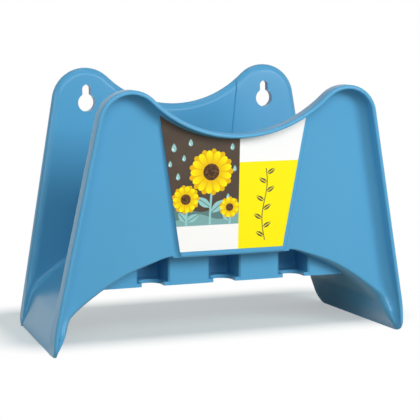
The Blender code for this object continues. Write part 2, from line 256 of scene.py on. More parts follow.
class Track:
    """A path that gives its point and heading at a distance along it."""

    def __init__(self, runs):
        self.runs = runs
        self.ends = [sum(run[0] for run in runs[: i + 1]) for i in range(len(runs))]
        self.length = self.ends[-1]

    def at(self, along):
        along = min(max(along, 0.0), self.length)
        i = min(bisect.bisect_left(self.ends, along), len(self.runs) - 1)
        return self.runs[i][1](along - (self.ends[i - 1] if i else 0.0))

    def beside(self, along, distance):
        """A point at a distance to the left of the track."""
        point, heading = self.at(along)
        return point + left_of(heading) * distance

    def reaches(self, test):
        """Distance at which test, which is false at first, turns true."""
        low, high = 0.0, self.length
        for _ in range(40):
            middle = (low + high) / 2
            if test(*self.at(middle)):
                high = middle
            else:
                low = middle
        return high

    def points(self, spacing):
        """Points along the track, with arcs and lines alike cut into equal steps."""
        found = []
        for run in self.runs:
            count = max(1, math.ceil(run[0] / spacing))
            found += [tuple(run[1](run[0] * i / count)[0]) for i in range(count)]
        return found + [tuple(self.at(self.length)[0])]


def crest(side, start, lean, dip, ear, radius):
    """Bends over the ear and down into the dip, from the end of a slanted side."""
    centre_z = ear - radius
    centre_x = start - (radius + centre_z * sin(lean)) / cos(lean)
    drop = dip - centre_z
    dip_radius = (centre_x**2 + drop**2 - radius**2) / (2 * (radius - drop))
    tilt = atan2(centre_x, dip + dip_radius - centre_z)
    top = (centre_x + radius * cos(lean), centre_z + radius * sin(lean))
    over = bend((centre_x, centre_z), radius, lean, pi / 2 + tilt)
    down = bend((0.0, dip + dip_radius), dip_radius, tilt - pi / 2, -pi / 2)
    return Track([*through(side + [(*top, 0.0)]), over, down])


def front_track():
    """Outline of the front plate, from its foot over the ear to the middle of the dip."""
    s = sizes()
    start = s.front_foot + s.front_tuck
    meet = s.front_tuck / tan(s.front_side)
    side = [(s.front_foot, 0.0, 0.0), (s.front_foot, meet, s.front_turn)]
    return crest(side, start, s.front_side, s.front_dip, s.front_ear, s.front_ear_radius)


def back_track():
    """Outline of the wall plate."""
    s = sizes()
    side = [(s.back_foot, 0.0, 0.0)]
    return crest(side, s.back_foot, s.back_side, s.back_dip, s.back_ear, s.back_ear_radius)


def arch_track():
    """Underside of the arch, from the foot to the middle of the crown."""
    s = sizes()
    shin_x = s.front_foot - s.saddle_wall / sin(s.shin) - s.shin_height / tan(s.shin)
    slopes = [(s.crown_half, s.crown_height, s.shoulder)]
    slopes += [(shin_x, s.shin_height, slope) for slope in (s.haunch, s.shin)]
    height, fall, corners = s.crown_height, 0.0, [(0.0, s.crown_height)]
    for x, z, slope in slopes:
        start = z + tan(slope) * x
        meet = (start - height) / (tan(slope) - fall)
        corners.append((meet, height - fall * meet))
        height, fall = start, tan(slope)
    corners.append((height / fall, 0.0))
    shoulder_left = dist(corners[1], corners[2]) - s.crown_blend * tan(s.shoulder / 2)
    haunch_left = dist(corners[2], corners[3]) - s.shin_blend * tan((s.shin - s.haunch) / 2)
    haunch_blend = min(shoulder_left, haunch_left) / tan((s.haunch - s.shoulder) / 2)
    radii = (0.0, s.crown_blend, haunch_blend, s.shin_blend, 0.0)
    return Track(through([(*corner, radius) for corner, radius in zip(corners, radii)][::-1]))


# The moulding's section


def held(share):
    """The share, kept between 0 and 1."""
    return min(max(share, 0.0), 1.0)


def eased(share):
    """The share, with a soft start and end."""
    return held(share) ** 2 * (3 - 2 * held(share))


def set_back(radius, height):
    """How far a rounding stands back at a height above its lowest point."""
    short = max(0.0, radius - height)
    return radius - sqrt(max(0.0, radius**2 - short**2))


def tray_back():
    """Depth of the front plate's back face at the floor."""
    s = sizes()
    return PLATE_FRONT[0].y + tan(s.front_lean) * s.front_ear + s.rim_depth


def plate_face():
    """Depth of the wall plate's face at the floor."""
    return WALL_Y - sizes().standoff


class Station:
    """One section of the skin: a ray from the arch's underside out to the edge of each plate."""

    LEVEL = 10 * MM  # Sections lie level up to this height
    SETTLE = 25 * MM  # and turn square to the arch over this run
    EDGE_NEAR, EDGE_FAR = 8 * MM, 22 * MM  # Run over which they turn square to a plate's edge
    MIDDLE = 20 * MM  # Half width over which the plates' feet stop coming in
    LEAST = 0.3 * MM  # Depth that is left between two faces at a foot
    CRISP = 1 * MM  # Rounding of the lobes' lower edge beside the panel
    PANEL_SIDE, PANEL_FADE = 42 * MM, 33 * MM  # Where it starts to widen, and over what run
    LIP_RISE = 12 * MM  # Height over which the lip sets in
    FOOT, FOOT_RISE = 4 * MM, 40 * MM  # Wider roundings at the feet, up to a height
    RAMP_RISE = 32 * MM  # Height over which the lobes come forward

    def __init__(self, arch, edges, along, level_from):
        s = sizes()
        self.sizes = s
        self.base, heading = arch.at(along)
        normal = -left_of(heading)
        settled = eased((along - level_from) / self.SETTLE)
        self.ray = Vector((1.0, 0.0)).lerp(normal, settled).normalized()
        self.stretch = 1 / self.ray.dot(normal)
        self.edges = []
        for edge, y in zip(edges, (tray_back(), plate_face())):
            base = self.foot_of(y)

            def beyond(point, _, base=base):
                away = point - base
                return self.ray.x * away.y - self.ray.y * away.x > -SAME_PLACE

            found = edge.reaches(beyond) if along > 0 else 0.0
            point, heading = edge.at(found)
            inward = (-self.ray).lerp(left_of(heading), settled).normalized()
            self.edges.append((point, inward, (point - base).length, found))

    def foot_of(self, y):
        """The arch's underside at this station, which comes in towards the wall as the plates do."""
        s = self.sizes
        slope = (s.front_foot - s.back_foot) / (plate_face() - tray_back())
        drift = slope * (y - tray_back()) * eased(self.base.x / self.MIDDLE)
        return self.base - Vector((drift, 0.0))

    def place(self, y, u, family):
        """The point at a depth y and a distance u along the ray that ends at the edge of a plate."""
        s = self.sizes
        point = self.foot_of(y) + self.ray * u
        edge, inward, reach, _ = self.edges[family]
        near, far = min(self.EDGE_NEAR, 0.35 * reach), min(self.EDGE_FAR, 0.6 * reach)
        share = eased((u - (reach - far)) / (far - near))
        point = point.lerp(edge + inward * (reach - u), share)
        between = held((y - tray_back()) / (plate_face() - tray_back()))
        lean = tan(s.back_lean) * between - tan(s.front_lean) * (1 - between)
        if y > plate_face() + s.wall:
            lean *= max(0.0, (WALL_Y - y) / (s.standoff - s.wall))
        return point.x, y + lean * point.y, point.y

    def lobe_edge(self, lobe, rim, tray):
        """Spots of the lobe's lower edge and of the rounding that rises from it to the rim."""
        s = self.sizes
        level = self.base.y
        wide = eased((self.base.x - self.PANEL_SIDE) / self.PANEL_FADE)
        lip = s.front_lip * eased(level / self.LIP_RISE)
        foot = self.FOOT * (1 - eased(level / self.FOOT_RISE))
        wider, deeper = (self.CRISP + (size - self.CRISP) * wide for size in (s.lobe_round, s.lobe_depth))
        lobe_round = wider + foot
        fillet = min(s.tray_fillet + foot, 0.8 * (lobe - rim))
        # Where the lobe is narrow, the two roundings meet in one smooth ramp
        both = lobe_round + fillet
        turn = acos(max(0.0, 1 - tray / both))
        half = both / 2 * sin(turn)
        forward = s.foot_ramp * (1 - eased(level / self.RAMP_RISE))
        middle = max(lobe + (lobe_round - fillet) / 2 - forward, rim + half + self.LEAST)
        deeper = max(0.0, deeper - lobe_round) * sin(turn) ** 8
        back, front, under, rise = middle + half, middle - half, [], []
        for t in [turn * k / 10 for k in range(11)]:
            y = back - lobe_round * sin(t) + deeper * (sin(turn) - sin(t))
            under.append((y, lobe_round * (1 - cos(t)) - lip))
            rise.insert(0, (front + fillet * sin(t), tray - fillet * (1 - cos(t))))
        return under, rise, foot

    def bends(self):
        """The section's bends: spots (depth, distance), cuts of the run after it, and its plate."""
        s = self.sizes
        inner, level = tray_back(), self.base.y
        rim = inner - s.rim_depth + set_back(s.toe_round, level)
        back = WALL_Y - set_back(s.heel_round, level)
        face = min(plate_face(), back - self.LEAST)
        tuck = set_back(s.foot_edge, level)
        front_reach, back_reach = self.edges[0][2] - tuck, self.edges[1][2] - tuck
        tray = max(self.edges[0][2] - s.rim_wall, 0.0)
        top = s.saddle_wall * self.stretch - tuck
        rib = s.wall * self.stretch
        open_front = max(front_reach - top, 0.0)
        open_back = max(back_reach - top, 0.0)
        hollow = max(back_reach - s.wall - rib, 0.0)
        hollow_top = rib + hollow
        hollow_depth = min(back - face - s.wall, 1.2 * hollow)
        floor = back - hollow_depth
        # Roundings are smaller where there is little room for them
        small = min(0.4 * MM, 0.3 * hollow_depth)
        under, rise, foot = self.lobe_edge(inner - s.wall, rim, tray)
        rim_width = front_reach - tray
        edge = min(s.rim_edge, 0.3 * rim_width)
        outer = min(s.rim_round, 0.68 * rim_width)
        plate = min(s.plate_round, 0.3 * open_front)
        channel = min(s.channel_round, 0.6 * open_front)
        fillet = min(s.back_fillet + foot, 0.52 * open_back)
        rounding = min(s.back_edge, 0.45 * open_back, 0.9 * (back - face))
        return (
            (under, 12, 0),
            (rise, 1, 0),
            (quarter(rim, tray, "front", "up", edge, 3), 1, 0),
            (quarter(rim, front_reach, "up", "back", outer, 6), 2, 0),
            (quarter(inner, front_reach, "back", "down", plate, 5), 12, 0),
            (quarter(inner, top, "down", "back", channel, 8), 10, 0),
            (quarter(face, top, "back", "up", fillet, 6), 12, 1),
            (quarter(face, back_reach, "up", "back", rounding, 6), 1, 1),
            ([(back, back_reach)], 1, 1),
            ([(back, hollow_top)], 1, 1),
            (quarter(floor, hollow_top, "front", "down", small, 2), 8, 1),
            (quarter(floor, rib, "down", "back", small, 2), 1, 1),
            ([(back, rib)], 1, 1),
            ([(back, 0.0)], 10, 1),
        )

    def loop(self):
        """The section's points in order."""
        bends, points = self.bends(), []
        for i, (spots, cuts, family) in enumerate(bends):
            points += [self.place(*spot, family) for spot in spots]
            after, _, next_family = bends[(i + 1) % len(bends)]
            (y0, u0), (y1, u1) = spots[-1], after[0]
            ends = self.place(y0, u0, family), self.place(y1, u1, next_family)
            for k in range(1, cuts):
                share = k / cuts
                if next_family != family:
                    points.append(tuple(Vector(ends[0]).lerp(Vector(ends[1]), share)))
                else:
                    points.append(self.place(y0 + (y1 - y0) * share, u0 + (u1 - u0) * share, family))
        return points


STEPS = {"up": (0, 1), "down": (0, -1), "front": (-1, 0), "back": (1, 0)}


def quarter(y, u, into, out, radius, steps):
    """Spots round a corner of the section, from one direction into another."""
    into, out = Vector(STEPS[into]), Vector(STEPS[out])
    centre = Vector((y, u)) + (out - into) * radius
    turns = [pi / 2 * k / steps for k in range(steps + 1)]
    return [tuple(centre - out * radius * cos(t) + into * radius * sin(t)) for t in turns]


FOOT_SECTIONS = 14
TRIALS = 900


def station_list():
    """Sections from the foot to the middle: level ones through the rounded foot, then fanned out."""
    arch, edges = arch_track(), (front_track(), back_track())
    count = sizes().stations
    level_from = arch.reaches(lambda point, _: point.y >= Station.LEVEL)
    stations = []
    for k in range(FOOT_SECTIONS):
        height = Station.LEVEL * (1 - cos(pi / 2 * k / FOOT_SECTIONS))
        along = arch.reaches(lambda point, _: point.y >= height) if height else 0.0
        stations.append(Station(arch, edges, along, level_from))
    # The fanned ones are spaced evenly by their steps along the arch and the front plate's edge
    alongs = [level_from + (arch.length - level_from) * i / TRIALS for i in range(TRIALS + 1)]
    trial = [Station(arch, edges, along, level_from) for along in alongs]
    measure = [0.0]
    for before, after in zip(trial, trial[1:]):
        front = after.edges[0][3] - before.edges[0][3]
        measure.append(measure[-1] + arch.length / TRIALS + front)
    for k in range(count + 1):
        want = measure[-1] * k / count
        i = min(max(bisect.bisect_left(measure, want), 1), TRIALS)
        share = (want - measure[i - 1]) / (measure[i] - measure[i - 1])
        along = alongs[i - 1] + (alongs[i] - alongs[i - 1]) * share
        stations.append(Station(arch, edges, along, level_from))
    return stations


# Modelling helpers

ALL = (bpy.ops.mesh.select_all, {"action": "SELECT"})
OUTWARDS = (bpy.ops.mesh.normals_make_consistent, {"inside": False})


def extrude(*move):
    """A step that extrudes what is selected."""
    return bpy.ops.mesh.extrude_region_move, {"TRANSFORM_OT_translate": {"value": move}}


def cut(spot, normal):
    """A step that cuts what is selected along a plane."""
    return bpy.ops.mesh.bisect, {"plane_co": spot, "plane_no": normal}


def pick(piece):
    """Makes a piece the only selected one."""
    bpy.ops.object.select_all(action="DESELECT")
    piece.select_set(True)
    bpy.context.view_layer.objects.active = piece


def start(add, name, **settings):
    """Adds a primitive with nothing else selected, and returns its object."""
    bpy.ops.object.select_all(action="DESELECT")
    add(**settings)
    piece = bpy.context.object
    piece.name = piece.data.name = name
    return piece


def edit(piece, *steps):
    """Runs edit mode steps on a piece, each an operator with its settings."""
    pick(piece)
    bpy.ops.object.mode_set(mode="EDIT")
    for operator, settings in steps:
        operator(**settings)
    bpy.ops.object.mode_set(mode="OBJECT")
    return piece


def select(piece, kind, test):
    """Selects the edges or faces that pass a test, and nothing else."""
    mesh = bmesh.new()
    mesh.from_mesh(piece.data)
    for part in (*mesh.verts, *mesh.edges, *mesh.faces):
        part.select = False
    for part in getattr(mesh, kind):
        if test(part):
            part.select_set(True)
    mesh.to_mesh(piece.data)
    mesh.free()
    bpy.context.tool_settings.mesh_select_mode = (False, kind == "edges", kind == "faces")


def bevel(piece, test, offset, segments):
    """Rounds the edges whose two ends pass a test."""
    select(piece, "edges", lambda edge: all(test(vert.co) for vert in edge.verts))
    edit(piece, (bpy.ops.mesh.bevel, {"offset": offset, "segments": segments, "affect": "EDGES"}))


def apply(piece, kind, **settings):
    """Adds a modifier with its settings and applies it."""
    modifier = piece.modifiers.new(kind.title(), kind)
    for key, value in settings.items():
        setattr(modifier, key, value)
    pick(piece)
    bpy.ops.object.modifier_apply(modifier=modifier.name)


def combine(piece, other, operation):
    """Adds, cuts or meets with another piece, which is used up."""
    apply(piece, "BOOLEAN", object=other, operation=operation, solver="EXACT")
    bpy.data.objects.remove(other, do_unlink=True)
    return piece


def prism(name, outline, low, high, axis="Y"):
    """A circle with a vertex at each point of the outline, filled, and extruded along Y or Z."""
    add = bpy.ops.mesh.primitive_circle_add
    piece = start(add, name, vertices=len(outline), fill_type="NGON")
    for vertex, (a, b) in zip(piece.data.vertices, outline):
        vertex.co = (a, low, b) if axis == "Y" else (a, b, low)
    rise = (0.0, high - low, 0.0) if axis == "Y" else (0.0, 0.0, high - low)
    return edit(piece, ALL, extrude(*rise), ALL, OUTWARDS)


def leaned(piece, tilt_before=-math.inf):
    """Leans a piece as the front plate does; what lies ahead of a depth tilts as the panel does too."""
    s = sizes()
    for vertex in piece.data.vertices:
        if vertex.co.y < tilt_before:
            vertex.co.y += tan(s.panel_tilt) * (vertex.co.z - s.panel_bottom)
        vertex.co.y -= tan(s.front_lean) * vertex.co.z
    return piece


def arc(centre, radius, start_angle, end_angle, steps):
    turns = [start_angle + (end_angle - start_angle) * i / steps for i in range(steps + 1)]
    return [(centre[0] + radius * cos(t), centre[1] + radius * sin(t)) for t in turns]


def both_sides(right, left):
    """An outline from its right half, given from the top's middle down, and its left half."""
    return right + [(-x, z) for x, z in reversed(left) if x > SAME_PLACE]


def settle(piece, slot, material, *nodes):
    """Puts a finished piece on the frame in place of CAD nodes."""
    piece.data.materials.clear()
    piece.data.materials.append(material)
    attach(piece, "root")
    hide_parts(*nodes)


# Pieces of the moulding

COVE_CUTS = (0.2, 0.36, 0.5, 0.62, 0.73, 0.83, 0.92)  # Shares of the panel's rise
SUNK = 0.15 * MM  # How far the panel reaches into the lobes
CLEAR = 1 * MM  # Extra wall round the hollow behind the panel
FACET = 6 * MM  # Longest step along the holder's wall
SMOOTH_BELOW = radians(32)


def make_skin():
    """The seamless walls of the moulding, from foot to foot."""
    loops = [station.loop() for station in station_list()]
    count = len(loops[0])
    row = count + 1
    add = bpy.ops.mesh.primitive_grid_add
    skin = start(add, "moulded_body", x_subdivisions=count, y_subdivisions=len(loops) - 1)
    assert len(skin.data.vertices) == row * len(loops)
    for i, vertex in enumerate(skin.data.vertices):
        vertex.co = loops[i // row][i % row % count]
    set_back_middle(skin)
    apply(skin, "MIRROR", use_axis=(True, False, False), merge_threshold=10 * SAME_PLACE)
    merge = (bpy.ops.mesh.remove_doubles, {"threshold": 5 * SAME_PLACE})
    close = (bpy.ops.mesh.fill_holes, {"sides": 0})
    return edit(skin, ALL, merge, ALL, close, OUTWARDS)


def set_back_middle(skin):
    """Moves the middle of the wall plate back, with a small step at its slanted side."""
    s = sizes()
    across = Vector((cos(s.step_side), 0.0, -sin(s.step_side)))
    foot = Vector((s.step_half, 0.0, 0.0))
    step_width, fade = 0.7 * MM, 12 * MM
    low = s.crown_height + fade

    def on_plate(spot):
        return spot.y > WALL_Y - 2 * s.standoff and spot.z > low

    for offset in (0.0, step_width):
        select(skin, "faces", lambda face: on_plate(face.calc_center_median()))
        edit(skin, cut(foot + across * offset, across))
    for vertex in skin.data.vertices:
        if on_plate(vertex.co) and (vertex.co - foot).dot(across) < step_width / 2:
            share = min(1.0, (WALL_Y - vertex.co.y) / (s.standoff - s.back_edge))
            vertex.co.y += s.step_rise * eased((vertex.co.z - low) / fade) * share


def half_panel(top_inset, side_inset, bottom):
    """Half an outline parallel to the panel's: the rim's dip, a slanted side and the bottom corner."""
    s = sizes()
    inset = s.rim_wall + s.panel_top + top_inset
    spacing = 1.2 * MM

    def room(x, z):
        return s.panel_half + tan(s.panel_side) * (z - s.panel_bottom) - side_inset - x

    track, found = front_track(), []
    while not found or room(*found[-1]) > 0:
        found.append(tuple(track.beside(track.length - spacing * len(found), inset)))
    last, after = found[-2:]
    share = room(*last) / (room(*last) - room(*after))
    corner = tuple(a + (b - a) * share for a, b in zip(last, after))
    return [(max(x, 0.0), z) for x, z in found[:-1]] + [corner, (room(0.0, bottom), bottom)]


def panel_outline(top_inset, side_inset, bottom, shift=0.0):
    """A whole outline, whose sides may be shifted to the left."""
    right, left = (half_panel(top_inset, side_inset + move, bottom) for move in (shift, -shift))
    return both_sides(right, left)


def make_panel():
    """The raised middle of the front plate, with a hollow along its slanted sides."""
    s = sizes()
    lobe = tray_back() - s.wall
    face = lobe - s.panel_rise
    lobe += SUNK
    panel = prism("panel", panel_outline(0.0, 0.0, s.panel_bottom), face, lobe)

    def at_face(co):
        return abs(co.y - face) < SAME_PLACE

    def past_side(co):
        return abs(co.x) - tan(s.panel_side) * (co.z - s.panel_bottom) - s.panel_half

    bevel(panel, lambda co: at_face(co) and co.z < s.panel_bottom + SAME_PLACE, s.panel_edge, 5)
    bevel(panel, lambda co: at_face(co) and past_side(co) > -SAME_PLACE, s.panel_corner, 3)
    rise = lobe - face
    for k in COVE_CUTS:
        edit(panel, ALL, cut((0.0, face + rise * k, 0.0), (0.0, 1.0, 0.0)))
    for vertex in panel.data.vertices:
        share = held(past_side(vertex.co) / s.panel_corner + 1)
        height = held((lobe - vertex.co.y) / rise)
        lower = rise - tan(s.panel_tilt) * (vertex.co.z - s.panel_bottom)
        out = s.panel_cove * lower * (1 - sqrt(1 - (1 - height) ** 2)) * share
        vertex.co.x += copysign(out, vertex.co.x)
        vertex.co.y = lobe - height * lower
    select(panel, "faces", lambda side: side.normal.y > 0.99)
    return leaned(edit(panel, extrude(0.0, s.wall / 2, 0.0)))


def make_panel_recess():
    """The hollow behind the raised panel, open towards the channel."""
    s = sizes()
    inner, inset, opening, rounding = tray_back(), s.wall + CLEAR, 10 * MM, 1.5 * MM
    face = inner - s.panel_rise
    bottom = s.crown_height + s.saddle_wall + s.channel_round + CLEAR
    recess = prism("recess", panel_outline(inset, inset, bottom), face, inner + opening)
    bevel(recess, lambda co: abs(co.y - face) < SAME_PLACE, rounding, 4)
    return leaned(recess, inner)


def keyhole_outline(x, grow, steps):
    """Round hole for a screw's head with a narrower slot above it, grown by a margin."""
    s = sizes()
    half, radius = s.keyhole_slot / 2 + grow, s.keyhole_radius + grow
    join = acos(half / radius)
    head = arc((x, s.keyhole_height), radius, pi - join, tau + join, 3 * steps)
    return head + arc((x, s.keyhole_height + s.keyhole_rise), half, 0.0, pi, steps)


def make_holder():
    """The corrugated wall of the accessory holder, with a notched shelf under each pocket."""
    s = sizes()
    front = tray_back() + s.holder_setback
    back = front + s.holder_depth
    half, radius = s.slot_width / 2, s.notch_width / 2
    places = (-s.slot_pitch, 0.0, s.slot_pitch)

    def side(reach, near, far, rounding):
        """Corners of one side of the wall, from left to right and round every pocket."""
        corners = [(-s.front_foot, near)]
        for x in places:
            corners += [(x - reach, near), (x - reach, far), (x + reach, far), (x + reach, near)]
        return [(*corner, rounding) for corner in (*corners, (s.front_foot, near))]

    front_rounding, back_rounding, shelf_setback = 1.1 * MM, 0.5 * MM, 0.3 * MM
    ahead = side(half, front, back - s.wall, front_rounding)
    behind = side(half + s.wall, front + s.wall, back, back_rounding)[::-1]
    path = [point for corners in (ahead, behind) for point in Track(through(corners)).points(FACET)]
    wall = prism("holder", path, s.holder_bottom, s.crown_height + s.saddle_wall, axis="Z")
    near, far = front + shelf_setback, back - s.wall / 2
    for x in places:
        left, right = x - half - s.wall / 2, x + half + s.wall / 2
        notch = arc((x, front + s.notch_reach - radius), radius, pi, 0.0, 24)
        outline = [(left, far), (left, near), (x - radius, near), *notch]
        outline += [(x + radius, near), (right, near), (right, far)]
        shelf = prism("shelf", outline, s.holder_bottom, s.holder_bottom + s.wall, axis="Z")
        combine(wall, shelf, "UNION")
    return wall


def under_saddle():
    """The space below the middle of the saddle's wall, wider and deeper than the holder."""
    track, cuts, below, beyond = arch_track(), 80, -20 * MM, 60 * MM
    alongs = [track.length * (1 - i / cuts) for i in range(cuts + 1)]
    spots = [track.beside(along, -sizes().saddle_wall / 2) for along in alongs]
    half = [(max(spot.x, 0.0), spot.y) for spot in spots]
    half.append((half[-1][0], below))
    return prism("under_saddle", both_sides(half, half), -beyond, beyond)


class HANGER_OT_moulding(bpy.types.Operator):
    """Add the blue moulding with its keyholes, panel and accessory holder"""

    bl_idname = "hanger.moulding"
    bl_label = "Moulding"

    def execute(self, context):
        s = sizes()
        skin = make_skin()
        combine(skin, make_panel(), "UNION")
        combine(skin, make_panel_recess(), "DIFFERENCE")
        combine(skin, combine(make_holder(), under_saddle(), "INTERSECT"), "UNION")
        inner = plate_face() + s.wall / 2 + tan(s.back_lean) * s.keyhole_height
        for x in (-s.keyhole_spacing / 2, s.keyhole_spacing / 2):
            pad = prism("pad", keyhole_outline(x, s.keyhole_pad, 10), inner, WALL_Y)
            combine(skin, pad, "UNION")
            hole = prism("keyhole", keyhole_outline(x, 0.0, 16), 0.0, 2 * WALL_Y)
            combine(skin, hole, "DIFFERENCE")
        pick(skin)
        bpy.ops.object.shade_smooth_by_angle(angle=SMOOTH_BELOW)
        apply(skin, "WEIGHTED_NORMAL", keep_sharp=True)
        nodes = [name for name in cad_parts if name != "product_label"]
        settle(skin, "blue_plastic", blue_plastic(), *nodes)
        return {"FINISHED"}


class HANGER_OT_label(bpy.types.Operator):
    """Add the printed label on the raised panel"""

    bl_idname = "hanger.label"
    bl_label = "Label"

    def execute(self, context):
        s = sizes()
        panel = tray_back() - s.wall - s.panel_rise
        face, gap, rounding = panel - s.label_film, 0.03 * MM, 0.06 * MM
        bottom = s.panel_bottom + s.label_bottom
        outline = panel_outline(s.label_top, s.label_side, bottom, s.label_shift)
        label = prism("printed_label", outline, face, panel - gap)
        bevel(label, lambda co: co.y < face + SAME_PLACE, rounding, 2)
        settle(leaned(label, math.inf), "printed_film", printed_film(), "product_label")
        return {"FINISHED"}


# Materials


def maths(operation, turned=False):
    """A method that adds a Math node to a value, which comes last where it is turned round."""

    def method(self, *others):
        inputs = (*others, self) if turned else (self, *others)
        return self.nodes.node("ShaderNodeMath", *inputs, settings={"operation": operation})

    return method


class Value:
    """A number over a surface, whose operators and methods add nodes."""

    __add__ = __radd__ = maths("ADD")
    __mul__ = __rmul__ = maths("MULTIPLY")
    __sub__, __rsub__ = maths("SUBTRACT"), maths("SUBTRACT", turned=True)
    __pow__, __abs__ = maths("POWER"), maths("ABSOLUTE")
    least, most = maths("MINIMUM"), maths("MAXIMUM")
    root, sine, angle = maths("SQRT"), maths("SINE"), maths("ARCTAN2")

    def __init__(self, nodes, socket):
        self.nodes = nodes
        self.socket = socket

    def step(self, edge, softness):
        """0 below the edge and 1 above it, over a soft width."""
        settings = {"interpolation_type": "SMOOTHSTEP", "clamp": True}
        low, high = edge - softness / 2, edge + softness / 2
        return self.nodes.node("ShaderNodeMapRange", self, low, high, 0.0, 1.0, settings=settings)


class Nodes:
    """A node tree under construction."""

    def __init__(self, tree):
        self.tree = tree

    def node(self, kind, *inputs, settings=(), output=0, **named):
        made = self.tree.nodes.new(kind)
        for key, value in dict(settings).items():
            setattr(made, key, value)
        for place, value in (*enumerate(inputs), *named.items()):
            self.put(made.inputs[place], value)
        return Value(self, made.outputs[output])

    def put(self, socket, value):
        if isinstance(value, Value):
            self.tree.links.new(value.socket, socket)
        else:
            socket.default_value = value

    def mix(self, share, *pair):
        """Mixes two colours, each a socket or three numbers."""
        made = self.tree.nodes.new("ShaderNodeMix")
        made.data_type = "RGBA"
        share_socket, colour_sockets, result = made.inputs[0], made.inputs[6:8], made.outputs[2]
        self.put(share_socket, share)
        for socket, colour in zip(colour_sockets, pair):
            self.put(socket, colour if isinstance(colour, Value) else (*colour, 1.0))
        return Value(self, result)

    def place(self):
        """Places on the piece: all three numbers, and each alone."""
        whole = self.node("ShaderNodeTexCoord", output="Object")
        split = self.node("ShaderNodeSeparateXYZ", whole).socket.node
        return whole, *(Value(self, output) for output in split.outputs)

    def seen(self):
        """1 for rays from the camera, and 1 for rays from the camera, a mirror or glass."""
        rays = self.node("ShaderNodeLightPath").socket.node.outputs
        kinds = ("Is Camera Ray", "Is Glossy Ray", "Is Transmission Ray")
        camera, glossy, clear = (Value(self, rays[kind]) for kind in kinds)
        return camera, camera.most(glossy).most(clear)


class Paint(Nodes):
    """A procedural material under construction."""

    def __init__(self, name):
        self.material = bpy.data.materials.new(name)
        self.material.use_nodes = True
        super().__init__(self.material.node_tree)
        self.shader = self.tree.nodes["Principled BSDF"]

    def noise(self, place, scale, detail=2.0):
        return self.node("ShaderNodeTexNoise", Vector=place, Scale=scale, Detail=detail)

    def finish(self, **sockets):
        """Sets the shader's sockets, written with _ for a space."""
        for name, value in sockets.items():
            self.put(self.shader.inputs[name.replace("_", " ")], value)
        return self.material


def tinted(colour, share):
    return tuple(value * share for value in colour)


def blue_plastic():
    """Moulded polypropylene: satin, with faint flow marks and a fine tool texture."""
    paint = Paint("blue_plastic")
    place = paint.place()[0]
    blue = colours().blue
    colour = paint.mix(paint.noise(place, scale=22.0, detail=3.0), tinted(blue, 0.96), blue)
    fine = paint.noise(place, scale=1800.0)
    wave = paint.noise(place, scale=34.0, detail=1.0)
    bump = paint.node("ShaderNodeBump", Strength=0.12, Distance=0.00006, Height=fine)
    relief = paint.node("ShaderNodeBump", Strength=0.35, Distance=0.0006, Height=wave, Normal=bump)
    finish = {"Roughness": 0.2 + 0.06 * fine, "IOR": 1.38, "Specular_IOR_Level": 0.28}
    return paint.finish(Base_Color=colour, Normal=relief, **finish)


class Print:
    """Flat shapes printed over the label, each a mask from the place on its face."""

    SHARP = 0.25 * MM

    def __init__(self, paint):
        self.place, self.x, _, self.z = paint.place()

    def inside(self, depth):
        """A mask of where a depth into a shape is more than nothing."""
        return depth.step(0.0, self.SHARP)

    def beyond(self, place, line):
        """A mask of where a place is past a line in millimetres."""
        return place.step(line * MM, self.SHARP)

    def offset(self, x, z):
        return self.x - x * MM, self.z - z * MM

    def away(self, x, z):
        """Distance from a point."""
        across, up = self.offset(x, z)
        return (across * across + up * up).root()

    def leaf(self, x, z, turn, reach, width):
        """A pointed leaf from a point, in a direction; returns its mask and its midrib's."""
        (across, up), turn = self.offset(x, z), radians(turn)
        along = across * cos(turn) + up * sin(turn)
        aside = abs(up * cos(turn) - across * sin(turn))
        share = along * (1 / (reach * MM))
        bulge = (share * pi).sine() * (width / 2 * MM) * (1.25 - 0.5 * share)
        blade = self.inside(bulge - aside) * self.inside(along) * self.inside(reach * MM - along)
        return blade, self.inside(0.28 * MM - aside) * blade

    def drop(self, x, z, reach):
        """A water drop that hangs from a point above."""
        share = (self.z - (z - reach / 2) * MM) * (1 / (reach * MM))
        safe = share.most(0.0).least(1.0)
        bulge = safe**0.5 * (1 - safe) * (0.85 * reach * MM)
        return self.inside(bulge - abs(self.x - x * MM) - self.SHARP)

    def flower(self, x, z, radius, petals, turn=0.0):
        """Petals round a point: their mask, how far out a place is, and the seams between them."""
        across, up = self.offset(x, z)
        angle = up.angle(across) + turn
        out = self.away(x, z)
        ripple = abs((angle * (petals / 2)).sine())
        rim = (0.62 + 0.38 * ripple**0.6) * (radius * MM)
        return self.inside(rim - out), out * (1 / (radius * MM)), ripple


